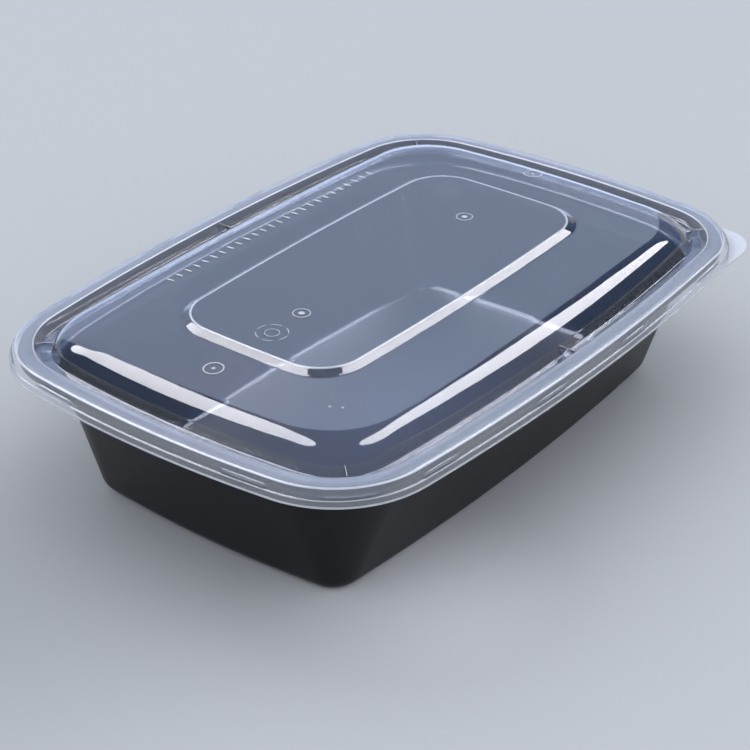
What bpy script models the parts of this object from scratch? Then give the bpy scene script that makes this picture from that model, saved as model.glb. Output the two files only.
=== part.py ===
"""Takeaway meal container: a black tapered tray under a clear press-on lid with a raised panel.

Metres, +Z up. The long side lies along X, and the origin is the middle of the base, on the
surface that the tray stands on. The peel tab of the lid is at the corner towards +X and -Y.
"""

from math import atan2, cos, pi, radians, sin, tan

import bmesh
import bpy
from mathutils import Matrix, Vector

# Driving dimensions
LENGTH = 0.2220                 # over the lip of the lid
WIDTH = 0.1542
RIM_HEIGHT = 0.0506             # top of the lid's rim
PANEL_HEIGHT = 0.0574           # top of the raised panel at its edge
BASE_LENGTH = 0.1718            # tray, where the walls would meet the ground
BASE_WIDTH = 0.1008

# Tray: a turned-down edge, an upright collar, a ledge and leaning walls
TRAY_WALL = 0.0007
TRAY_TOP = 0.0489               # underside of the tray's rim
BASE_CORNER = 0.0080
BASE_BOW_X = 0.0035             # how far a short side bulges, at the base
BASE_BOW_Y = 0.0042
BASE_ROUND = 0.0065             # rounding between the base and the walls
COLLAR_INSET = 0.00355          # from the rim's edge to the outside of the upright collar
COLLAR_LEAN = 0.0006            # how far the collar leans in on its way down
LEDGE_HEIGHT = 0.0430           # underside of the ledge, where the leaning walls begin
LEDGE_INSET = 0.0095            # from the rim's edge to the top of the leaning walls
LEDGE_RISE = 0.0006
LEDGE_CORNER = 0.0300
LEDGE_BOW = 0.0066
TRAY_EDGE_INSET = 0.0016        # from the rim's edge to the tray's turned-down edge
TRAY_EDGE_DROP = 0.0016

# Rim and skirt of the lid
LID_WALL = 0.0005
RIM_CORNER = 0.0309
RIM_BOW_X = 0.0076
RIM_BOW_Y = 0.0074
RIM_WIDTH = 0.0054              # flat top of the rim
SKIRT_OUT = 0.0018              # how far the skirt slopes out
SKIRT_DROP = 0.0029
LIP_OUT = 0.0019                # lip past the rim's top edge
LIP_DROP = 0.0047
LIP_FOOT = 0.0003               # width of the thin foot around the lip

# Groove and dome of the lid
GROOVE_DEPTH = 0.0033
GROOVE_START = 0.0070           # inset of the groove's foot
GROOVE_END = 0.0106
DOME_START = 0.0116             # inset of the step where the dome begins
DOME_STEP = -0.0004             # height of that step over the rim
FLAT_HALF = (0.0885, 0.0524)    # half size of the flat that the dome rises to
FLAT_CORNER = 0.0240
FLAT_BOW = (0.0030, 0.0016)
FLAT_RISE = 0.0041              # flat over the rim
SHOULDER_TURN = radians(50.0)   # lean of the shoulder at its foot
FLAT_LEAN = radians(3.0)        # of the flat, where the shoulder meets it

# Raised panel of the lid
PANEL_FOOT_HALF = (0.0679, 0.0331)
PANEL_HALF = (0.0655, 0.0307)
PANEL_CORNER = 0.0150
PANEL_BOW = (0.0009, 0.0017)
PANEL_RISE = 0.00145
PANEL_CROWN = 0.0003

# Peel tab and the small gussets in the groove
TAB_ANGLE = radians(-34.8)      # direction of the tab's tip, seen from the middle
TAB_REACH = 0.0064
TAB_SPREAD = radians(7.2)       # from the tip to where the tab meets the lip
GUSSET_THICK = 0.0009
GUSSET_TOP = -0.0002            # below the top of the rim

# Steps around an outline, for each quarter
CORNER_STEPS = 10
LONG_STEPS = 6
SHORT_STEPS = 4
BASE_STEPS = 4                  # down the rounding of the base
SHOULDER_STEPS = 6              # up the shoulder of the dome


def clear_scene():
    for item in list(bpy.data.objects):
        bpy.data.objects.remove(item, do_unlink=True)


def material(name, color, roughness, alpha=1.0):
    made = bpy.data.materials.new(name)
    made.use_nodes = True
    shader = made.node_tree.nodes["Principled BSDF"]
    shader.inputs["Base Color"].default_value = (*color, 1.0)
    shader.inputs["Roughness"].default_value = roughness
    shader.inputs["Metallic"].default_value = 0.0
    shader.inputs["Alpha"].default_value = alpha
    return made


def side_radius(half, bow):
    """Radius of a side that bulges by bow over a half length."""
    return (half * half + bow * bow) / (2.0 * bow)


class Outline:
    """A rounded rectangle whose four sides bulge: half sizes, corner and side radii."""

    def __init__(self, half_x, half_y, corner, bend_x, bend_y):
        self.sizes = (half_x, half_y, corner, bend_x, bend_y)

    @classmethod
    def bowed(cls, half, corner, bow):
        bend_x = side_radius(half[1], bow[0])
        bend_y = side_radius(half[0], bow[1])
        return cls(half[0], half[1], corner, bend_x, bend_y)

    def grown(self, distance):
        """The same outline, moved outwards everywhere by one distance."""
        return Outline(*(size + distance for size in self.sizes))

    def towards(self, other, share):
        pairs = zip(self.sizes, other.sizes)
        return Outline(*(a + (b - a) * share for a, b in pairs))

    def quarter(self):
        """Points from the middle of the side at -Y round to the middle of the side at +X."""
        half_x, half_y, corner, bend_x, bend_y = self.sizes
        long_center = Vector((0.0, bend_y - half_y))
        short_center = Vector((half_x - bend_x, 0.0))
        # The corner's circle touches both bulging sides from inside
        reach_long = bend_y - corner
        reach_short = bend_x - corner
        gap = short_center - long_center
        along = (reach_long**2 - reach_short**2 + gap.length_squared) / (2.0 * gap.length)
        aside = (reach_long**2 - along**2) ** 0.5
        unit = gap.normalized()
        center = long_center + unit * along + Vector((unit.y, -unit.x)) * aside
        if center.x < 0.0:
            center = long_center + unit * along - Vector((unit.y, -unit.x)) * aside
        start = atan2(center.y - long_center.y, center.x - long_center.x)
        end = atan2(center.y - short_center.y, center.x - short_center.x)
        arcs = (
            (long_center, bend_y, -pi / 2.0, start, LONG_STEPS),
            (center, corner, start, end, CORNER_STEPS),
            (short_center, bend_x, end, 0.0, SHORT_STEPS),
        )
        points = []
        for middle, radius, first, last, steps in arcs:
            for step in range(steps):
                angle = first + (last - first) * step / steps
                points.append(middle + Vector((cos(angle), sin(angle))) * radius)
        points.append(Vector((half_x, 0.0)))
        return points

    def points(self):
        """The whole outline, counter-clockwise, without a repeated point."""
        quarter = self.quarter()
        right = quarter + [Vector((p.x, -p.y)) for p in reversed(quarter[:-1])]
        left = [-p for p in right]
        return right[:-1] + left[:-1]


RIM = Outline.bowed(
    (LENGTH / 2 - LIP_OUT - LIP_FOOT, WIDTH / 2 - LIP_OUT - LIP_FOOT),
    RIM_CORNER,
    (RIM_BOW_X, RIM_BOW_Y),
)
BASE = Outline.bowed(
    (BASE_LENGTH / 2, BASE_WIDTH / 2), BASE_CORNER, (BASE_BOW_X, BASE_BOW_Y)
)
WALL_TOP = Outline.bowed(
    (RIM.sizes[0] - LEDGE_INSET, RIM.sizes[1] - LEDGE_INSET),
    LEDGE_CORNER,
    (LEDGE_BOW, LEDGE_BOW),
)
FLAT = Outline.bowed(FLAT_HALF, FLAT_CORNER, FLAT_BOW)
PANEL_FOOT = Outline.bowed(PANEL_FOOT_HALF, PANEL_CORNER, PANEL_BOW)
PANEL = Outline.bowed(PANEL_HALF, PANEL_CORNER - 0.001, PANEL_BOW)


def wall_outline(height, out=0.0):
    """The outside of the tray's leaning wall at a height, moved outwards by out."""
    return BASE.towards(WALL_TOP, height / LEDGE_HEIGHT).grown(out)


def tray_stations():
    """Underside of the tray, from its turned-down edge in to the base: outline and height."""
    collar = RIM.grown(-COLLAR_INSET)
    edge = COLLAR_INSET - TRAY_EDGE_INSET
    stations = [
        (collar.grown(edge + 0.0003), TRAY_TOP - TRAY_EDGE_DROP),
        (collar.grown(edge), TRAY_TOP - 0.0003),
        (collar.grown(edge - 0.0003), TRAY_TOP),
        (collar.grown(0.0004), TRAY_TOP),
        (collar, TRAY_TOP - 0.0006),
        (collar.grown(-COLLAR_LEAN), LEDGE_HEIGHT + LEDGE_RISE + 0.0008),
        (collar.grown(-COLLAR_LEAN - 0.0006), LEDGE_HEIGHT + LEDGE_RISE),
        (WALL_TOP.grown(0.0008), LEDGE_HEIGHT),
        (wall_outline(LEDGE_HEIGHT - 0.0008), LEDGE_HEIGHT - 0.0008),
    ]
    for height in (0.030, 0.017):
        stations.append((wall_outline(height), height))
    # The rounding turns from the lean of the walls down to the flat base
    lean = atan2(WALL_TOP.sizes[1] - BASE.sizes[1], LEDGE_HEIGHT)
    back = BASE_ROUND * (1.0 - sin(lean)) / cos(lean)
    for step in range(BASE_STEPS + 1):
        angle = (pi / 2.0 - lean) * (1.0 - step / BASE_STEPS)
        rise = BASE_ROUND * (1.0 - cos(angle))
        out = BASE_ROUND * sin(angle) - back - rise * tan(lean)
        stations.append((wall_outline(rise, out), rise))
    return stations


def lid_stations():
    """Top side of the lid, from the foot of its lip to the middle: outline and height."""
    top = RIM_HEIGHT
    step_height = top + DOME_STEP
    dome_foot = RIM.grown(-DOME_START)
    stations = [
        (RIM.grown(LIP_OUT), top - LIP_DROP + 0.0003),
        (RIM.grown(SKIRT_OUT + 0.0001), top - SKIRT_DROP - 0.0004),
        (RIM.grown(SKIRT_OUT - 0.0002), top - SKIRT_DROP + 0.0002),
        (RIM.grown(0.0003), top - 0.0008),
        (RIM.grown(-0.0005), top),
        (RIM.grown(-RIM_WIDTH), top),
        (RIM.grown(-RIM_WIDTH - 0.0005), top - 0.0004),
        (RIM.grown(-GROOVE_START + 0.0002), top - GROOVE_DEPTH + 0.0004),
        (RIM.grown(-GROOVE_START - 0.0004), top - GROOVE_DEPTH),
        (RIM.grown(-GROOVE_END), top - GROOVE_DEPTH),
        (RIM.grown(-GROOVE_END - 0.0004), top - GROOVE_DEPTH + 0.0004),
        (dome_foot.grown(0.0002), step_height - 0.0003),
    ]
    # The shoulder of the dome is an arc from the step to the flat
    rise = top + FLAT_RISE - step_height
    run = sin(SHOULDER_TURN) - sin(FLAT_LEAN)
    drop = cos(FLAT_LEAN) - cos(SHOULDER_TURN)
    for step in range(SHOULDER_STEPS + 1):
        angle = SHOULDER_TURN + (FLAT_LEAN - SHOULDER_TURN) * step / SHOULDER_STEPS
        outline = dome_foot.towards(FLAT, (sin(SHOULDER_TURN) - sin(angle)) / run)
        height = step_height + rise * (cos(angle) - cos(SHOULDER_TURN)) / drop
        stations.append((outline, height))
    foot_height = PANEL_HEIGHT - PANEL_RISE
    stations += [
        (PANEL_FOOT.grown(0.0006), foot_height),
        (PANEL_FOOT.grown(-0.0004), foot_height + 0.0003),
        (PANEL, PANEL_HEIGHT - 0.0001),
        (PANEL.grown(-0.0008), PANEL_HEIGHT),
        (PANEL.grown(-0.0120), PANEL_HEIGHT + PANEL_CROWN),
    ]
    return stations


def tab_reach(point):
    """How far the foot of the lip runs out at a point: the thin foot, or the peel tab."""
    turn = abs(atan2(point.y, point.x) - TAB_ANGLE)
    share = max(0.0, 1.0 - (turn / TAB_SPREAD) ** 2)
    return LIP_FOOT + (TAB_REACH - LIP_FOOT) * share


def tabbed_foot(height):
    """The outer edge of the lip's foot, with the peel tab, as points in space."""
    points = RIM.grown(LIP_OUT).points()
    count = len(points)
    edge = []
    for index, point in enumerate(points):
        run = points[(index + 1) % count] - points[index - 1]
        outward = Vector((run.y, -run.x)).normalized()
        place = point + outward * tab_reach(point)
        edge.append((place.x, place.y, height))
    return edge


def loft(name, loops, thickness, finish, parts):
    """A skin through loops of points, closed at the last one and thickened behind its face."""
    shape = bmesh.new()
    rows = [[shape.verts.new(point) for point in loop] for loop in loops]
    count = len(rows[0])
    for outer, inner in zip(rows, rows[1:]):
        for index in range(count):
            after = (index + 1) % count
            shape.faces.new((outer[index], outer[after], inner[after], inner[index]))
    shape.faces.new(rows[-1])
    mesh = bpy.data.meshes.new(name)
    shape.to_mesh(mesh)
    shape.free()
    mesh.materials.append(finish)
    made = bpy.data.objects.new(name, mesh)
    parts.objects.link(made)
    wall = made.modifiers.new("Wall", "SOLIDIFY")
    wall.thickness = abs(thickness)
    wall.offset = -1.0 if thickness > 0.0 else 1.0
    wall.use_even_offset = True
    mesh.shade_smooth()
    mesh.set_sharp_from_angle(angle=radians(35.0))
    return made


def station_loop(outline, height):
    return [(point.x, point.y, height) for point in outline.points()]


def make_tray(parts):
    finish = material("Black polypropylene", (0.012, 0.012, 0.013), 0.38)
    loops = [station_loop(outline, height) for outline, height in tray_stations()]
    # Seen from below, so the skin's face looks down and the wall grows up and in
    return loft("tray", loops, -TRAY_WALL, finish, parts)


def make_lid(parts):
    finish = material("Clear polypropylene", (0.80, 0.83, 0.88), 0.12, 0.35)
    loops = [tabbed_foot(RIM_HEIGHT - LIP_DROP)]
    loops += [station_loop(outline, height) for outline, height in lid_stations()]
    return loft("lid", loops, LID_WALL, finish, parts)


def make_gussets(lid, cutters):
    """Small upright fins that bridge the groove, fused to the lid."""
    middle = RIM.points()
    count = len(middle)
    corner = LONG_STEPS + CORNER_STEPS // 2
    quarter = LONG_STEPS + CORNER_STEPS + SHORT_STEPS
    places = [0, corner, quarter, 2 * quarter - corner]
    places += [place + 2 * quarter for place in places]
    shape = bmesh.new()
    for place in places:
        point = middle[place % count]
        run = middle[(place + 1) % count] - middle[place - 1]
        inward = Vector((-run.y, run.x)).normalized()
        start = RIM_WIDTH - 0.0001
        end = DOME_START + 0.0003
        low = RIM_HEIGHT - GROOVE_DEPTH - LID_WALL / 2
        high = RIM_HEIGHT + GUSSET_TOP - LID_WALL / 2
        center = point + inward * (start + end) / 2
        turn = Matrix.Rotation(atan2(inward.y, inward.x), 4, "Z")
        size = Matrix.Diagonal((end - start, GUSSET_THICK, high - low, 1.0))
        move = Matrix.Translation((center.x, center.y, (low + high) / 2))
        bmesh.ops.create_cube(shape, size=1.0, matrix=move @ turn @ size)
    mesh = bpy.data.meshes.new("gussets")
    shape.to_mesh(mesh)
    shape.free()
    fins = bpy.data.objects.new("gussets", mesh)
    cutters.objects.link(fins)
    fins.hide_render = True
    fins.display_type = "WIRE"
    fuse = lid.modifiers.new("Gussets", "BOOLEAN")
    fuse.operation = "UNION"
    fuse.solver = "EXACT"
    fuse.object = fins


def main():
    clear_scene()
    parts = bpy.data.collections.new("Takeaway meal container")
    cutters = bpy.data.collections.new("Cutters")
    bpy.context.scene.collection.children.link(parts)
    bpy.context.scene.collection.children.link(cutters)
    make_tray(parts)
    lid = make_lid(parts)
    make_gussets(lid, cutters)


main()
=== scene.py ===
"""Takeaway meal container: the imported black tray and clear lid, finely formed, finished and lit.

Metres, +Z up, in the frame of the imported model: the long side lies along X, and the origin is
the middle of the base. The peel tab of the lid is at the corner towards +X and -Y.
"""

from math import atan2, cos, hypot, pi, radians, sin, tan

import bmesh
import bpy
from mathutils import Matrix, Vector
from mathutils.bvhtree import BVHTree


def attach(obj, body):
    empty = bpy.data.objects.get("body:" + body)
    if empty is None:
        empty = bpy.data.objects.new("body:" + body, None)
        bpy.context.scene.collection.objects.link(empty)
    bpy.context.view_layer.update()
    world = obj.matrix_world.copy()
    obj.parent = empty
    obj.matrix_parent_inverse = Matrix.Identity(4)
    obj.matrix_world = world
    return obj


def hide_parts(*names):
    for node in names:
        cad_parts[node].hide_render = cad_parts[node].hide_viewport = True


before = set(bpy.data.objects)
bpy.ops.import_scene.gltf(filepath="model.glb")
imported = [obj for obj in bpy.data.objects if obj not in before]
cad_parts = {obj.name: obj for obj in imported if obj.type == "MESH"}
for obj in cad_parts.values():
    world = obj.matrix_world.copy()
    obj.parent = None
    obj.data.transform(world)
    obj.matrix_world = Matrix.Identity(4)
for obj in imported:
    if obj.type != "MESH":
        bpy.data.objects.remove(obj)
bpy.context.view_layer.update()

# Camera, solved from the outlines of the lid and the base
CAMERA_PLACE = Vector((-0.449085, -0.341509, 0.345337))
CAMERA_TARGET = Vector((-0.018899, -0.010173, 0.03))
CAMERA_ROLL = radians(0.13)
CAMERA_LENS = 99.08             # for a 36 mm sensor

# Driving dimensions, as in the part's own source
LENGTH = 0.2220
WIDTH = 0.1542
RIM_HEIGHT = 0.0506
PANEL_HEIGHT = 0.0574
BASE_LENGTH = 0.1718
BASE_WIDTH = 0.1008

# Tray
TRAY_WALL = 0.0007
TRAY_TOP = 0.0489
TRAY_EDGE_INSET = 0.0016
TRAY_EDGE_DROP = 0.0016
BASE_CORNER = 0.0080
BASE_BOW = (0.0035, 0.0042)
BASE_ROUND = 0.0065
COLLAR_INSET = 0.00355
COLLAR_LEAN = 0.0006
LEDGE_HEIGHT = 0.0430
LEDGE_INSET = 0.0095
LEDGE_RISE = 0.0006
LEDGE_CORNER = 0.0300
LEDGE_BOW = (0.0066, 0.0066)

# Lid
LID_WALL = 0.0005
RIM_CORNER = 0.0309
RIM_BOW = (0.0076, 0.0074)
RIM_WIDTH = 0.0054
SKIRT_OUT = 0.0018
SKIRT_DROP = 0.0029
LIP_OUT = 0.0019
LIP_DROP = 0.0047
LIP_FOOT = 0.0003
GROOVE_DEPTH = 0.0033
GROOVE_START = 0.0070
GROOVE_END = 0.0106
DOME_START = 0.0116
DOME_STEP = -0.0004
FLAT_HALF = (0.0885, 0.0524)
FLAT_CORNER = 0.0240
FLAT_BOW = (0.0030, 0.0016)
FLAT_RISE = 0.0041
SHOULDER_TURN = radians(50.0)
FLAT_LEAN = radians(3.0)
PANEL_FOOT_HALF = (0.0679, 0.0331)
PANEL_HALF = (0.0655, 0.0307)
PANEL_CORNER = 0.0150
PANEL_BOW = (0.0009, 0.0017)
PANEL_RISE = 0.00145
PANEL_CROWN = 0.0001            # the vent pips take the rest of the height
SKIRT_LEDGE = 0.00045           # small shoulder where the skirt turns down into the lip

# Peel tab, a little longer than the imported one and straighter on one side
TAB_ANGLE = radians(-33.2)      # direction of the tab's tip, seen from the middle
TAB_REACH = 0.0067
TAB_LONG_SIDE = radians(9.0)    # from the tip to where the tab meets the lip, towards -Y
TAB_ROUND_SIDE = radians(5.5)   # the same towards +Y

# Gussets that bridge the groove, and the lugs on the skirt that grip the tray's edge
GUSSET_THICK = 0.0006
GUSSET_TAPER = 0.45             # thickness at the top, as a share of that at the foot
GUSSET_TOP = -0.0002            # below the top of the rim
GUSSET_CLEAR = 0.00002          # over the groove's floor
GUSSET_START = RIM_WIDTH + 0.0006
GUSSET_END = DOME_START - 0.0002
LUG_OUT = 0.00045
LUG_HALF = 0.0065               # half length of a lug
LUG_END = 0.0012                # run-out at each end
LUG_LOW = 0.00035               # above the foot of the skirt
LUG_HIGH = 0.00125
LUGS_LONG = (0.022, 0.071)      # places along a long side, from its middle
LUG_SHORT = 0.035               # place along a short side

# Low relief on top of the lid. A bead has its half width and height, a pip its radius and height
BEAD_SINK = 0.00008             # how far the relief reaches into the lid
VENT_PLACES = (Vector((-0.0410, 0.0)), Vector((0.0410, 0.0)))
VENT_RING = 0.0026
VENT_BEAD = (0.00018, 0.00012)
VENT_PIP = (0.0010, 0.00020)
DIAL_PLACE = Vector((-0.0553, -0.0008))
DIAL_OUTER = 0.0048
DIAL_OUTER_BEAD = (0.00013, 0.00006)
DIAL_INNER = 0.0022
DIAL_INNER_BEAD = (0.00011, 0.00006)
DIAL_ARCS = 6
DIAL_GAP = radians(14.0)        # between two arcs of the outer ring
SMALL_PLACES = (Vector((-0.0744, -0.0374)), Vector((-0.0727, -0.0405)))
SMALL_PIP = (0.00045, 0.00025)
RING_PLACES = (Vector((-0.0783, 0.0014)), Vector((0.0868, 0.0043)))
RING_RADIUS = 0.0029
RING_BEAD = (0.00022, 0.00010)
RING_PIP = (0.0006, 0.00012)
TICK_COUNT = 26                 # plain ticks in a row along the far long side
TICK_SPAN = (-0.0455, 0.0530)
TICK_ENDS = (0.0462, 0.0496)
TICK_BEAD = (0.00034, 0.00022)

# Studio: a sweep, two rounded lights, and a lit screen and a vault that show only in gloss
SWEEP_RADIUS = 1.15
SWEEP_BEND = 0.30
SWEEP_WALL = 0.42
SOFTBOX_AIM = Vector((0.0, 0.0, 0.05))
SOFTBOX_COLOR = (0.99, 0.97, 1.0)
LEFT_SOFTBOX = ((0.0, 0.72, 1.0), (0.72, 0.98), 12.5)       # place, size and power
RIGHT_SOFTBOX = ((0.869, -0.040, 1.133), (0.50, 1.04), 9.2)
AIR_COLOR = (0.93, 0.96, 1.0, 1.0)
AIR_STRENGTH = 1.33
SCREEN_FOOT = (1.24, 0.010)     # radius and height of the screen's lower edge
SCREEN_TOP = (0.87, 0.923)
SCREEN_SPAN = (radians(18.0), radians(80.0))
SCREEN_GLOW = 3.0
SCREEN_TINTS = ((0.52, 0.71, 1.00), (0.64, 0.70, 1.00))
SCREEN_LEVELS = ((0.0, 1.7), (0.15, 1.7), (0.26, 1.0), (0.40, 0.95), (0.68, 1.50), (1.0, 1.80))
VAULT_RADIUS = 3.0
VAULT_GLOW = 0.45
VAULT_COLOR = (0.22, 0.42, 0.95, 1.0)
BLACK = (0.0, 0.0, 0.0, 1.0)

# Fineness of the meshes
LONG_STEPS = 22
CORNER_STEPS = 22
SHORT_STEPS = 14
SHOULDER_STEPS = 18
BASE_STEPS = 10                 # down the rounding of the base
ROUND_STEPS = 4                 # along each rounded edge of a profile
BEAD_STEPS = 6                  # over a bead
CIRCLE_STEPS = 40               # round a ring
PIP_TURNS = 20
SWEEP_STEPS = 12                # up the bend of the sweep
SWEEP_TURNS = 96
SCREEN_STEPS = 24


def side_radius(half, bow):
    """Radius of a side that bulges by bow over a half length."""
    return (half * half + bow * bow) / (2.0 * bow)


class Outline:
    """A rounded rectangle whose four sides bulge: half sizes, corner and side radii."""

    def __init__(self, half_x, half_y, corner, bend_x, bend_y):
        self.sizes = (half_x, half_y, corner, bend_x, bend_y)

    @classmethod
    def bowed(cls, half, corner, bow):
        bend_x = side_radius(half[1], bow[0])
        bend_y = side_radius(half[0], bow[1])
        return cls(half[0], half[1], corner, bend_x, bend_y)

    def grown(self, distance):
        """The same outline, moved outwards everywhere by one distance."""
        return Outline(*(size + distance for size in self.sizes))

    def towards(self, other, share):
        pairs = zip(self.sizes, other.sizes)
        return Outline(*(a + (b - a) * share for a, b in pairs))

    def arcs(self):
        """Middle, radius, first and last angle of the three arcs of the quarter at +X, -Y."""
        half_x, half_y, corner, bend_x, bend_y = self.sizes
        long_center = Vector((0.0, bend_y - half_y))
        short_center = Vector((half_x - bend_x, 0.0))
        reach_long = bend_y - corner
        reach_short = bend_x - corner
        gap = short_center - long_center
        along = (reach_long**2 - reach_short**2 + gap.length_squared) / (2.0 * gap.length)
        aside = (reach_long**2 - along**2) ** 0.5
        unit = gap.normalized()
        center = long_center + unit * along + Vector((unit.y, -unit.x)) * aside
        if center.x < 0.0:
            center = long_center + unit * along - Vector((unit.y, -unit.x)) * aside
        start = atan2(center.y - long_center.y, center.x - long_center.x)
        end = atan2(center.y - short_center.y, center.x - short_center.x)
        return (
            (long_center, bend_y, -pi / 2.0, start),
            (center, corner, start, end),
            (short_center, bend_x, end, 0.0),
        )

    def points(self, columns):
        """The whole outline, counter-clockwise, at the given places: arc and share of it."""
        arcs = self.arcs()
        quarter = []
        for arc, share in columns:
            middle, radius, first, last = arcs[arc]
            angle = first + (last - first) * share
            quarter.append(middle + Vector((cos(angle), sin(angle))) * radius)
        right = quarter + [Vector((p.x, -p.y)) for p in reversed(quarter[:-1])]
        left = [-p for p in right]
        return right[:-1] + left[:-1]


RIM = Outline.bowed(
    (LENGTH / 2 - LIP_OUT - LIP_FOOT, WIDTH / 2 - LIP_OUT - LIP_FOOT), RIM_CORNER, RIM_BOW
)
BASE = Outline.bowed((BASE_LENGTH / 2, BASE_WIDTH / 2), BASE_CORNER, BASE_BOW)
WALL_TOP = Outline.bowed(
    (RIM.sizes[0] - LEDGE_INSET, RIM.sizes[1] - LEDGE_INSET), LEDGE_CORNER, LEDGE_BOW
)
FLAT = Outline.bowed(FLAT_HALF, FLAT_CORNER, FLAT_BOW)
PANEL_FOOT = Outline.bowed(PANEL_FOOT_HALF, PANEL_CORNER, PANEL_BOW)
PANEL = Outline.bowed(PANEL_HALF, PANEL_CORNER - 0.001, PANEL_BOW)


def arc_lengths():
    """Length of the three arcs of a quarter of the rim."""
    return [radius * (last - first) for _, radius, first, last in RIM.arcs()]


def lug_spans():
    """First and last place of each lug along a quarter of the rim, from the long side's middle."""
    long_run, corner_run, short_run = arc_lengths()
    middles = list(LUGS_LONG)
    middles.append(long_run + corner_run / 2.0)
    middles.append(long_run + corner_run + short_run - LUG_SHORT)
    return [(middle - LUG_HALF, middle + LUG_HALF) for middle in middles]


def rim_columns():
    """Where the outlines are sampled: even steps, and both ends of every lug."""
    runs = arc_lengths()
    wanted = []
    before = 0.0
    for run, steps in zip(runs, (LONG_STEPS, CORNER_STEPS, SHORT_STEPS)):
        wanted += [before + run * step / steps for step in range(steps)]
        before += run
    wanted.append(before)
    for first, last in lug_spans():
        wanted += [first - LUG_END, first, last, last + LUG_END]
    columns = []
    taken = -1.0
    for place in sorted(wanted):
        # Columns closer than this would make slivers
        if place - taken < LUG_END / 3.0 and place < before:
            continue
        taken = place
        arc = 0
        rest = place
        while arc < 2 and rest >= runs[arc]:
            rest -= runs[arc]
            arc += 1
        columns.append((arc, min(1.0, rest / runs[arc]), place))
    return columns


COLUMNS = rim_columns()
COLUMN_PLACES = [(arc, share) for arc, share, _ in COLUMNS]


def whole_turn(quarter):
    """Values of one quarter's columns, mirrored and turned to go once round the outline."""
    half = quarter + quarter[-2::-1]
    return half[:-1] + half[:-1]


def smooth(share):
    share = max(0.0, min(1.0, share))
    return share * share * (3.0 - 2.0 * share)


def lug_share(place):
    """One on a lug, nothing between the lugs, and a short run-out at their ends."""
    depth = max(min(place - first, last - place) for first, last in lug_spans())
    return smooth(1.0 + depth / LUG_END)


LUG_SHARES = whole_turn([lug_share(place) for _, _, place in COLUMNS])


class Station:
    """One loop of a lofted skin: its outline, its height and how much of a lug it takes."""

    def __init__(self, outline, height, rounding=0.0, lug=0.0, edge=False):
        self.values = (*outline.sizes, height, lug)
        self.rounding = rounding
        self.edge = edge

    @classmethod
    def of(cls, values):
        return cls(Outline(*values[:5]), values[5], 0.0, values[6])

    def blend(self, other, share):
        pairs = zip(self.values, other.values)
        return Station.of([a + (b - a) * share for a, b in pairs])

    def gap(self, other):
        """Distance between two stations, seen in the section through the middle of a side."""
        return hypot(other.values[1] - self.values[1], other.values[5] - self.values[5])

    def loop(self):
        """Points in space, pushed out where the lugs are."""
        points = Outline(*self.values[:5]).points(COLUMN_PLACES)
        height, lug = self.values[5:]
        if lug > 0.0:
            points = [
                point + outward(points, index) * LUG_OUT * lug * LUG_SHARES[index]
                for index, point in enumerate(points)
            ]
        return [(point.x, point.y, height) for point in points]


def outward(points, index):
    run = points[(index + 1) % len(points)] - points[index - 1]
    return Vector((run.y, -run.x)).normalized()


def rounded(stations):
    """The stations with each corner of the profile turned into a small curve."""
    smoothed = [stations[0]]
    for before, corner, after in zip(stations, stations[1:], stations[2:]):
        if corner.rounding <= 0.0:
            smoothed.append(corner)
            continue
        back = min(0.48, corner.rounding / max(corner.gap(before), 1e-9))
        ahead = min(0.48, corner.rounding / max(corner.gap(after), 1e-9))
        start = corner.blend(before, back)
        end = corner.blend(after, ahead)
        for step in range(ROUND_STEPS + 1):
            share = step / ROUND_STEPS
            first = start.blend(corner, share)
            smoothed.append(first.blend(corner.blend(end, share), share))
            smoothed[-1].edge = corner.edge and 0 < step < ROUND_STEPS
    smoothed.append(stations[-1])
    return smoothed


def skirt_station(height, lug=0.0, rounding=0.0):
    """A station on the sloping skirt at a height."""
    top = RIM_HEIGHT
    share = (top - height) / SKIRT_DROP
    return Station(RIM.grown((SKIRT_OUT - SKIRT_LEDGE) * share), height, rounding, lug)


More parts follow.
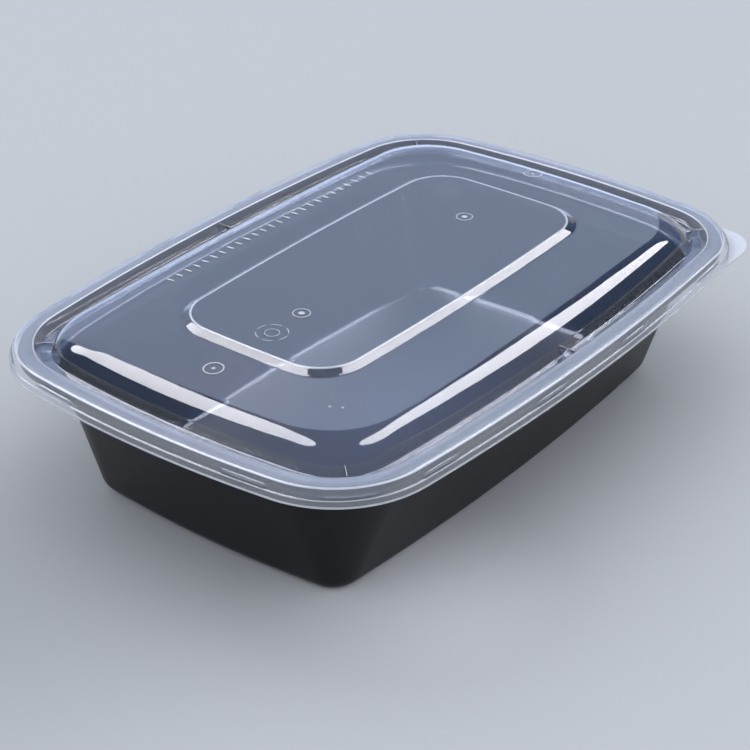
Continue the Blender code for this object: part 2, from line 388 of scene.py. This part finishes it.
def lid_stations():
    """Top side of the lid, from the foot of its lip to the middle."""
    top = RIM_HEIGHT
    foot = top - SKIRT_DROP
    step_height = top + DOME_STEP
    dome_foot = RIM.grown(-DOME_START)
    stations = [
        Station(RIM.grown(LIP_OUT), top - LIP_DROP, 0.00035),
        Station(RIM.grown(SKIRT_OUT + 0.00005), foot, 0.00030, edge=True),
        skirt_station(foot + 0.0001, 0.0, 0.00015),
        skirt_station(foot + LUG_LOW),
        skirt_station(foot + LUG_LOW + 0.0002, 1.0, 0.0001),
        skirt_station(foot + LUG_HIGH, 1.0, 0.0001),
        skirt_station(foot + LUG_HIGH + 0.0002),
        Station(RIM, top, 0.00080, edge=True),
        Station(RIM.grown(-RIM_WIDTH), top, 0.00050, edge=True),
        Station(RIM.grown(-GROOVE_START), top - GROOVE_DEPTH, 0.00060),
        Station(RIM.grown(-GROOVE_END), top - GROOVE_DEPTH, 0.00060),
        Station(dome_foot, step_height - 0.0001, 0.00030),
    ]
    # The shoulder of the dome is an arc from the step to the flat
    rise = top + FLAT_RISE - step_height
    run = sin(SHOULDER_TURN) - sin(FLAT_LEAN)
    drop = cos(FLAT_LEAN) - cos(SHOULDER_TURN)
    for step in range(1, SHOULDER_STEPS + 1):
        angle = SHOULDER_TURN + (FLAT_LEAN - SHOULDER_TURN) * step / SHOULDER_STEPS
        outline = dome_foot.towards(FLAT, (sin(SHOULDER_TURN) - sin(angle)) / run)
        height = step_height + rise * (cos(angle) - cos(SHOULDER_TURN)) / drop
        stations.append(Station(outline, height))
    foot_height = PANEL_HEIGHT - PANEL_RISE
    flat_height = top + FLAT_RISE
    for share in (0.25, 0.5, 0.75):
        outline = FLAT.towards(PANEL_FOOT, share)
        height = flat_height + (foot_height - flat_height) * share
        stations.append(Station(outline, height))
    stations += [
        Station(PANEL_FOOT, foot_height, 0.00050),
        Station(PANEL, PANEL_HEIGHT, 0.00060, edge=True),
        Station(PANEL.grown(-0.0030), PANEL_HEIGHT + PANEL_CROWN * 0.4, 0.0010),
        Station(PANEL.grown(-0.0070), PANEL_HEIGHT + PANEL_CROWN * 0.8),
        Station(PANEL.grown(-0.0120), PANEL_HEIGHT + PANEL_CROWN),
    ]
    return rounded(stations)


def tab_reach(point):
    """How far the foot of the lip runs out at a point: the thin foot, or the peel tab."""
    turn = atan2(point.y, point.x) - TAB_ANGLE
    if turn > 0.0:
        share = max(0.0, 1.0 - (turn / TAB_ROUND_SIDE) ** 2)
    else:
        share = 1.0 - smooth(-turn / TAB_LONG_SIDE)
    return LIP_FOOT + (TAB_REACH - LIP_FOOT) * share


def lip_loops():
    """Three loops from the outer edge of the lip's foot in to the lip."""
    points = RIM.grown(LIP_OUT).points(COLUMN_PLACES)
    height = RIM_HEIGHT - LIP_DROP
    loops = []
    for share in (1.0, 0.94, 0.5):
        places = [
            point + outward(points, index) * tab_reach(point) * share
            for index, point in enumerate(points)
        ]
        loops.append([(place.x, place.y, height) for place in places])
    return loops


def wall_outline(height, out=0.0):
    """The outside of the tray's leaning wall at a height, moved outwards by out."""
    return BASE.towards(WALL_TOP, height / LEDGE_HEIGHT).grown(out)


def tray_stations():
    """Underside of the tray, from its turned-down edge in to the base."""
    collar = RIM.grown(-COLLAR_INSET)
    edge = COLLAR_INSET - TRAY_EDGE_INSET
    ledge = LEDGE_HEIGHT + LEDGE_RISE
    stations = [
        Station(collar.grown(edge + 0.0002), TRAY_TOP - TRAY_EDGE_DROP),
        Station(collar.grown(edge), TRAY_TOP, 0.0005),
        Station(collar, TRAY_TOP, 0.0006),
        Station(collar.grown(-COLLAR_LEAN), ledge, 0.0008),
        Station(WALL_TOP, LEDGE_HEIGHT, 0.0009),
    ]
    for height in (0.036, 0.026, 0.015):
        stations.append(Station(wall_outline(height), height))
    lean = atan2(WALL_TOP.sizes[1] - BASE.sizes[1], LEDGE_HEIGHT)
    back = BASE_ROUND * (1.0 - sin(lean)) / cos(lean)
    for step in range(BASE_STEPS + 1):
        angle = (pi / 2.0 - lean) * (1.0 - step / BASE_STEPS)
        rise = BASE_ROUND * (1.0 - cos(angle))
        out = BASE_ROUND * sin(angle) - back - rise * tan(lean)
        stations.append(Station(wall_outline(rise, out), rise))
    flat = wall_outline(0.0, -back)
    stations.append(Station(flat.grown(-0.0030), 0.0))
    return rounded(stations)


class Value:
    """A socket of a material; sums and products of values add its Math nodes."""

    def __init__(self, finish, socket):
        self.finish = finish
        self.socket = socket

    def math(self, operation, *values):
        inputs = dict(enumerate(values))
        return self.finish.node("ShaderNodeMath", {"operation": operation}, inputs)

    def __add__(self, other):
        return self.math("ADD", self, other)

    def __radd__(self, other):
        return self.math("ADD", other, self)

    def __mul__(self, other):
        return self.math("MULTIPLY", self, other)

    def __rmul__(self, other):
        return self.math("MULTIPLY", other, self)


class Finish:
    """A material with a Principled shader, built node by node."""

    def __init__(self, name, **constants):
        self.material = bpy.data.materials.new(name)
        self.material.use_nodes = True
        self.tree = self.material.node_tree
        self.shader = self.tree.nodes["Principled BSDF"]
        for socket, value in constants.items():
            self.shader.inputs[socket.replace("_", " ")].default_value = value

    def node(self, kind, settings=None, inputs=None, output=0):
        """Any node: its settings are set first, then the values or links of its sockets."""
        made = self.tree.nodes.new(kind)
        for name, value in (settings or {}).items():
            if name == "stops":
                elements = made.color_ramp.elements
                while len(elements) < len(value):
                    elements.new(1.0)
                for element, (place, color) in zip(elements, value):
                    element.position = place
                    element.color = color
            else:
                setattr(made, name, value)
        for name, value in (inputs or {}).items():
            if isinstance(value, Value):
                self.tree.links.new(value.socket, made.inputs[name])
            else:
                made.inputs[name].default_value = value
        return Value(self, made.outputs[output])

    def feed(self, socket, value):
        self.tree.links.new(value.socket, self.shader.inputs[socket])

    def place(self):
        """Where a point of the surface is on the piece, in metres."""
        return self.node("ShaderNodeTexCoord", output="Object")

    def noise(self, scale, detail):
        """Even cloudy variation from 0 to 1, with scale in bumps for each metre."""
        inputs = {"Vector": self.place(), "Scale": scale, "Detail": detail}
        return self.node("ShaderNodeTexNoise", None, inputs)

    def spot(self, center, radius):
        """One at a place on the piece, fading softly to nothing at a distance from it."""
        inputs = {0: self.place(), 1: center}
        away = self.node("ShaderNodeVectorMath", {"operation": "DISTANCE"}, inputs, "Value")
        inputs = {"Value": away, "From Max": radius, "To Min": 1.0, "To Max": 0.0}
        return self.node("ShaderNodeMapRange", {"interpolation_type": "SMOOTHSTEP"}, inputs)

    def mix(self, share, first, second):
        """A colour between two colours."""
        inputs = {0: share, 6: first, 7: second}
        return self.node("ShaderNodeMix", {"data_type": "RGBA"}, inputs, 2)

    def bump(self, height, distance, strength):
        inputs = {"Height": height, "Distance": distance, "Strength": strength}
        self.feed("Normal", self.node("ShaderNodeBump", None, inputs))


def clear_plastic():
    """Thin clear polypropylene: glossy, a little hazy and not quite flat."""
    finish = Finish(
        "Clear polypropylene", IOR=1.49, Transmission_Weight=0.984, Roughness=0.025
    )
    patches = finish.noise(14.0, 3.0)
    tint = finish.mix(patches, (0.84, 0.89, 0.98, 1.0), (0.94, 0.94, 0.98, 1.0))
    finish.feed("Base Color", tint)
    finish.bump(finish.noise(38.0, 1.0), 0.0004, 0.30)
    return finish.material


def rim_plastic():
    """The clear plastic of the rim, skirt and lip, which is thicker and a little milky."""
    finish = Finish(
        "Clear polypropylene rim", IOR=1.49, Transmission_Weight=0.87, Roughness=0.04
    )
    patches = finish.noise(22.0, 2.0)
    tint = finish.mix(patches, (0.84, 0.87, 0.95, 1.0), (0.94, 0.95, 0.98, 1.0))
    finish.feed("Base Color", tint)
    finish.bump(finish.noise(38.0, 1.0), 0.0004, 0.20)
    return finish.material


def milky_highlight_plastic():
    """The same plastic where it turns on its edge, paler and less clear: a painted highlight for
    the bright lines that light makes in those edges.
    """
    finish = Finish(
        "Clear polypropylene on edge, painted highlight", IOR=1.49, Transmission_Weight=0.45, Roughness=0.14
    )
    patches = finish.noise(60.0, 2.0)
    tint = finish.mix(patches, (0.78, 0.81, 0.88, 1.0), (0.88, 0.90, 0.95, 1.0))
    finish.feed("Base Color", tint)
    return finish.material


def black_plastic():
    """Black polypropylene with the faint texture of a tool that isn't polished."""
    finish = Finish("Black polypropylene", IOR=1.49, Specular_IOR_Level=0.25)
    cloud = finish.noise(45.0, 3.0)
    tint = finish.mix(cloud, (0.004, 0.004, 0.0044, 1.0), (0.006, 0.006, 0.0065, 1.0))
    finish.feed("Base Color", tint)
    finish.feed("Roughness", 0.30 + cloud * 0.10)
    finish.bump(finish.noise(2600.0, 2.0), 0.00005, 0.30)
    return finish.material


def black_inside():
    """The inner side of the tray: smooth walls and roundings, and a dull floor."""
    finish = Finish("Black polypropylene inside", IOR=1.49, Specular_IOR_Level=1.0)
    cloud = finish.noise(30.0, 2.0)
    tint = finish.mix(cloud, (0.008, 0.008, 0.010, 1.0), (0.012, 0.012, 0.014, 1.0))
    finish.feed("Base Color", tint)
    # Dull on the floor, and smooth from where the rounding begins
    rise = finish.node("ShaderNodeSeparateXYZ", None, {"Vector": finish.place()}, "Z")
    heights = {"From Min": 0.0009, "From Max": 0.0020}
    gloss = {"To Min": 0.36, "To Max": 0.03}
    dull = finish.node("ShaderNodeMapRange", None, {"Value": rise, **heights, **gloss})
    finish.feed("Roughness", dull + cloud * 0.02)
    return finish.material


def pale_floor():
    """Pale grey-blue, with painted shade darkening it at the left and a painted pool of light in
    front of the object.
    """
    finish = Finish("Pale studio sweep", Roughness=0.42, Specular_IOR_Level=0.0)
    cloud = finish.noise(1.4, 2.0)
    tone = finish.mix(cloud, (0.475, 0.49, 0.52, 1.0), (0.49, 0.505, 0.535, 1.0))
    # Painted shade: the colour is darkened at the left, where less light reaches the floor.
    dark = finish.spot((-0.165, 0.045, 0.0), 0.13)
    # Painted pool of light: the colour is lightened just in front of the object, to soften the
    # shade there.
    light = finish.spot((-0.064, -0.056, 0.0), 0.052)
    tone = finish.mix(dark, tone, (0.36, 0.375, 0.405, 1.0))
    finish.feed("Base Color", finish.mix(light, tone, (0.68, 0.69, 0.73, 1.0)))
    return finish.material


def finished(shape, name, finishes):
    """The shape as a smooth piece in the scene, with its materials."""
    mesh = bpy.data.meshes.new(name)
    shape.to_mesh(mesh)
    shape.free()
    for finish in finishes:
        mesh.materials.append(finish)
    mesh.shade_smooth()
    made = bpy.data.objects.new(name, mesh)
    bpy.context.scene.collection.objects.link(made)
    return made


def loft(name, loops, finishes, slots=()):
    """A skin through loops of points, closed at the last one, with a material for each strip."""
    shape = bmesh.new()
    rows = [[shape.verts.new(point) for point in loop] for loop in loops]
    count = len(rows[0])
    for strip, (outer, inner) in enumerate(zip(rows, rows[1:])):
        for index in range(count):
            after = (index + 1) % count
            face = shape.faces.new((outer[index], outer[after], inner[after], inner[index]))
            face.material_index = slots[strip] if slots else 0
    close(shape, rows[-1])
    return finished(shape, name, finishes)


def close(shape, ring):
    """Fills the last loop with strips of quads between its two long halves."""
    half = len(ring) // 2
    quarter = half // 2
    left = ring[quarter:quarter + half + 1]
    right = [ring[(quarter - step) % len(ring)] for step in range(half + 1)]
    for step in range(half):
        corners = []
        for vert in (left[step], left[step + 1], right[step + 1], right[step]):
            if vert not in corners:
                corners.append(vert)
        shape.faces.new(corners)


def thicken(piece, thickness, outwards, inner_slot=0):
    """Gives a skin its wall, whose new side can have a material of its own, and soft edges."""
    wall = piece.modifiers.new("Wall", "SOLIDIFY")
    wall.thickness = thickness
    wall.offset = 1.0 if outwards else -1.0
    wall.use_even_offset = True
    wall.material_offset = inner_slot
    edge = piece.modifiers.new("Edge", "BEVEL")
    edge.width = thickness * 0.3
    edge.segments = 2
    edge.limit_method = "ANGLE"
    edge.angle_limit = radians(50.0)


def keep(piece, node):
    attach(piece, "root")
    if node:
        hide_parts(node)


def make_tray(outside, inside):
    loops = [station.loop() for station in tray_stations()]
    piece = loft("black_tray", loops, [inside, outside])
    thicken(piece, TRAY_WALL, True, 1)
    keep(piece, "tray")


def make_lid(clear, milky, rim):
    """The lid in one skin: clear in the middle, milkier from the groove outwards, and with a
    painted highlight on its edges.
    """
    lip = lip_loops()
    stations = lid_stations()
    rim_edge = RIM.sizes[0] - GROOVE_START - 0.0003
    # The lip and the rounded edge strips take the paler finish, a painted highlight along them.
    slots = [1] * len(lip)
    for first, second in zip(stations, stations[1:]):
        if first.edge and second.edge:
            slots.append(1)
        else:
            slots.append(2 if second.values[0] > rim_edge else 0)
    loops = lip + [station.loop() for station in stations]
    piece = loft("clear_lid", loops, [clear, milky, rim], slots)
    thicken(piece, LID_WALL, False)
    keep(piece, "lid")
    return piece


class Relief:
    """Small rounded beads laid on the top of the lid."""

    def __init__(self, lid):
        bpy.context.view_layer.update()
        self.tree = BVHTree.FromObject(lid, bpy.context.evaluated_depsgraph_get())
        self.shape = bmesh.new()

    def vert(self, place, rise):
        """A corner at a height over the lid's surface."""
        above = Vector((place.x, place.y, 2.0 * PANEL_HEIGHT))
        surface = self.tree.ray_cast(above, Vector((0.0, 0.0, -1.0)))[0]
        return self.shape.verts.new((place.x, place.y, surface.z + rise))

    def bridge(self, rows, closed):
        """Quads between rows of corners; every row is itself a closed section."""
        count = len(rows[0])
        pairs = list(zip(rows, rows[1:]))
        if closed:
            pairs.append((rows[-1], rows[0]))
        for first, second in pairs:
            for index in range(count):
                after = (index + 1) % count
                self.shape.faces.new((first[index], first[after], second[after], second[index]))
        if not closed:
            self.shape.faces.new(rows[0])
            self.shape.faces.new(list(reversed(rows[-1])))

    def bead(self, path, size, closed=False):
        """A half-round bead along a path, slimmer at open ends."""
        half_width, height = size
        last = len(path) - 1
        rows = []
        for index, point in enumerate(path):
            ends = not closed and index in (0, last)
            ahead = path[(index + 1) % len(path)] if closed else path[min(index + 1, last)]
            behind = path[index - 1] if closed else path[max(index - 1, 0)]
            run = (ahead - behind).normalized()
            across = Vector((run.y, -run.x)) * half_width * (0.4 if ends else 1.0)
            rise = height * (0.3 if ends else 1.0)
            row = [self.vert(point + across, -BEAD_SINK)]
            for step in range(BEAD_STEPS + 1):
                angle = pi * step / BEAD_STEPS
                row.append(self.vert(point + across * cos(angle), rise * sin(angle)))
            row.append(self.vert(point - across, -BEAD_SINK))
            rows.append(row)
        self.bridge(rows, closed)

    def ring(self, center, radius, size, first=0.0, last=2.0 * pi):
        """A bead round a circle, or along an arc of it."""
        closed = last - first > 1.99 * pi
        steps = max(6, round(CIRCLE_STEPS * (last - first) / (2.0 * pi)))
        path = []
        for step in range(steps if closed else steps + 1):
            angle = first + (last - first) * step / steps
            path.append(center + Vector((cos(angle), sin(angle))) * radius)
        self.bead(path, size, closed)

    def pip(self, center, size):
        """A small dome, from its foot in the lid to its nearly flat top."""
        radius, height = size
        angles = [2.0 * pi * turn / PIP_TURNS for turn in range(PIP_TURNS)]
        section = ((1.0, 0.0), (0.9, 0.5), (0.65, 0.82), (0.3, 0.98))
        loops = [(radius, -BEAD_SINK)]
        loops += [(radius * across, height * up) for across, up in section]
        rows = []
        for reach, lift in loops:
            places = [center + Vector((cos(a), sin(a))) * reach for a in angles]
            rows.append([self.vert(place, lift) for place in places])
        self.bridge(rows, False)

    def line(self, start, end, size, steps=4):
        self.bead([start.lerp(end, step / steps) for step in range(steps + 1)], size)


def make_relief(lid, finish):
    """Vent pips, a dial ring, two small pips, plain rings and a row of plain ticks."""
    relief = Relief(lid)
    for place in VENT_PLACES:
        relief.ring(place, VENT_RING, VENT_BEAD)
        relief.pip(place, VENT_PIP)
    for arc in range(DIAL_ARCS):
        first = 2.0 * pi * arc / DIAL_ARCS
        last = 2.0 * pi * (arc + 1) / DIAL_ARCS - DIAL_GAP
        relief.ring(DIAL_PLACE, DIAL_OUTER, DIAL_OUTER_BEAD, first, last)
    relief.ring(DIAL_PLACE, DIAL_INNER, DIAL_INNER_BEAD)
    for place in SMALL_PLACES:
        relief.pip(place, SMALL_PIP)
    for place in RING_PLACES:
        relief.ring(place, RING_RADIUS, RING_BEAD)
        relief.pip(place, RING_PIP)
    for tick in range(TICK_COUNT):
        x = TICK_SPAN[0] + (TICK_SPAN[1] - TICK_SPAN[0]) * tick / (TICK_COUNT - 1)
        relief.line(Vector((x, TICK_ENDS[0])), Vector((x, TICK_ENDS[1])), TICK_BEAD)
    bmesh.ops.recalc_face_normals(relief.shape, faces=relief.shape.faces)
    # The relief is in the paler edge finish, a painted highlight on its beads and pips.
    piece = finished(relief.shape, "lid_relief", [finish])
    keep(piece, None)


def make_gussets(clear, milky):
    """Small upright fins across the groove, at its corners and halfway along its long sides."""
    shape = bmesh.new()
    for share, arc in ((0.0, 0), (0.5, 1)):
        middle, radius, first, last = RIM.arcs()[arc]
        angle = first + (last - first) * share
        unit = Vector((cos(angle), sin(angle)))
        point = middle + unit * radius
        for side_x, side_y in ((1, 1), (1, -1), (-1, 1), (-1, -1)):
            # The middle of a long side is its own mirror image across X
            if arc == 0 and side_x < 0:
                continue
            inward = Vector((-unit.x * side_x, -unit.y * side_y))
            add_gusset(shape, Vector((point.x * side_x, point.y * side_y)), inward)
    piece = finished(shape, "lid_gussets", [clear, milky])
    soft = piece.modifiers.new("Edge", "BEVEL")
    soft.width = GUSSET_THICK * 0.15
    soft.segments = 2
    keep(piece, None)


def add_gusset(shape, point, inward):
    """One fin: a plate that thins towards its top, from the rim's wall to the dome's."""
    low = RIM_HEIGHT - GROOVE_DEPTH + GUSSET_CLEAR
    high = RIM_HEIGHT + GUSSET_TOP
    center = point + inward * (GUSSET_START + GUSSET_END) / 2.0
    turn = Matrix.Rotation(atan2(inward.y, inward.x), 4, "Z")
    size = Matrix.Diagonal((GUSSET_END - GUSSET_START, GUSSET_THICK, high - low, 1.0))
    move = Matrix.Translation((center.x, center.y, (low + high) / 2.0))
    plate = bmesh.ops.create_cube(shape, size=1.0)["verts"]
    top = [vert for vert in plate if vert.co.z > 0.0]
    # The fin's top face takes the paler finish, a painted highlight along its edge.
    for face in top[0].link_faces:
        face.material_index = int(all(vert in top for vert in face.verts))
    for vert in plate:
        if vert in top:
            vert.co.y *= GUSSET_TAPER
        vert.co = move @ turn @ size @ vert.co


def make_sweep(finish):
    """Floor and backdrop in one: a round floor that curves up into a wall all the way round."""
    profile = [(0.4, 0.0), (0.8, 0.0), (SWEEP_RADIUS, 0.0)]
    for step in range(1, SWEEP_STEPS + 1):
        angle = pi / 2.0 * step / SWEEP_STEPS
        radius = SWEEP_RADIUS + SWEEP_BEND * sin(angle)
        profile.append((radius, SWEEP_BEND * (1.0 - cos(angle))))
    profile.append((SWEEP_RADIUS + SWEEP_BEND, SWEEP_WALL))
    shape = bmesh.new()
    angles = [2.0 * pi * turn / SWEEP_TURNS for turn in range(SWEEP_TURNS)]
    rows = []
    for radius, height in profile:
        rows.append([shape.verts.new((radius * cos(a), radius * sin(a), height)) for a in angles])
    for inner, outer in zip(rows, rows[1:]):
        for index in range(SWEEP_TURNS):
            after = (index + 1) % SWEEP_TURNS
            shape.faces.new((inner[index], outer[index], outer[after], inner[after]))
    shape.faces.new(rows[0])
    finished(shape, "studio_sweep", [finish])


def make_softbox(name, place, size, power):
    """A rounded light that looks at the object and shows in its gloss."""
    light = bpy.data.lights.new(name, "AREA")
    light.shape = "ELLIPSE"
    light.size, light.size_y = size
    light.energy = power
    light.color = SOFTBOX_COLOR
    lamp = bpy.data.objects.new(name, light)
    lamp.location = place
    aim = SOFTBOX_AIM - Vector(place)
    lamp.rotation_euler = aim.to_track_quat("-Z", "Y").to_euler()
    lamp.visible_camera = False
    lamp.visible_diffuse = False
    bpy.context.scene.collection.objects.link(lamp)


def glowing(name, strength, **constants):
    """A finish that only glows."""
    return Finish(
        name, Base_Color=BLACK, Specular_IOR_Level=0.0, Emission_Strength=strength, **constants
    )


def stage_for_gloss(piece):
    """Staging that the object mirrors, unseen by the camera, and which lights nothing."""
    piece.visible_camera = False
    piece.visible_diffuse = False
    piece.visible_shadow = False


def lit_backdrop():
    """A glow that is brightest low down and high up, with soft clouds in it."""
    finish = glowing("Lit backdrop", SCREEN_GLOW)
    place = finish.node("ShaderNodeTexCoord", output="Generated")
    rise = finish.node("ShaderNodeSeparateXYZ", None, {"Vector": place}, "Z")
    glow = []
    for tint in SCREEN_TINTS:
        stops = [
            (at, [part * level / SCREEN_GLOW for part in tint] + [1.0])
            for at, level in SCREEN_LEVELS
        ]
        glow.append(finish.node("ShaderNodeValToRGB", {"stops": stops}, {"Fac": rise}))
    finish.feed("Emission Color", finish.mix(finish.noise(5.0, 2.0), *glow))
    return finish.material


def make_backdrop(finish):
    """The curved screen behind the object that the lid mirrors."""
    first, last = SCREEN_SPAN
    shape = bmesh.new()
    rows = []
    for step in range(SCREEN_STEPS + 1):
        angle = first + (last - first) * step / SCREEN_STEPS
        row = []
        for radius, height in (SCREEN_FOOT, SCREEN_TOP):
            row.append(shape.verts.new((radius * cos(angle), radius * sin(angle), height)))
        rows.append(row)
    for before, after in zip(rows, rows[1:]):
        shape.faces.new((before[0], after[0], after[1], before[1]))
    stage_for_gloss(finished(shape, "lit_backdrop", [finish]))


def make_room_glow():
    """A dim blue vault over the studio that tints the dark parts of the lid's gloss."""
    finish = glowing("Dim blue room", VAULT_GLOW, Emission_Color=VAULT_COLOR)
    shape = bmesh.new()
    bmesh.ops.create_icosphere(shape, subdivisions=4, radius=VAULT_RADIUS)
    stage_for_gloss(finished(shape, "room_vault", [finish.material]))


def make_lights():
    make_softbox("left_softbox", *LEFT_SOFTBOX)
    make_softbox("right_softbox", *RIGHT_SOFTBOX)
    world = bpy.data.worlds.new("Studio")
    world.use_nodes = True
    air = world.node_tree.nodes["Background"]
    air.inputs["Color"].default_value = AIR_COLOR
    air.inputs["Strength"].default_value = AIR_STRENGTH
    world.cycles_visibility.glossy = False
    world.cycles_visibility.transmission = False
    bpy.context.scene.world = world


def make_camera():
    data = bpy.data.cameras.new("Camera")
    data.lens = CAMERA_LENS
    data.sensor_width = 36.0
    data.clip_start = 0.01
    camera = bpy.data.objects.new("Camera", data)
    aim = (CAMERA_TARGET - CAMERA_PLACE).to_track_quat("-Z", "Y").to_matrix().to_4x4()
    roll = Matrix.Rotation(CAMERA_ROLL, 4, "Z")
    camera.matrix_world = Matrix.Translation(CAMERA_PLACE) @ aim @ roll
    bpy.context.scene.collection.objects.link(camera)
    bpy.context.scene.camera = camera


def main():
    bpy.context.scene.view_settings.view_transform = "Standard"
    make_camera()
    make_lights()
    make_sweep(pale_floor())
    make_backdrop(lit_backdrop())
    make_room_glow()
    clear = clear_plastic()
    # Paler finish for edges, fins and relief: a painted highlight.
    milky = milky_highlight_plastic()
    make_tray(black_plastic(), black_inside())
    lid = make_lid(clear, milky, rim_plastic())
    make_gussets(clear, milky)
    make_relief(lid, milky)


main()
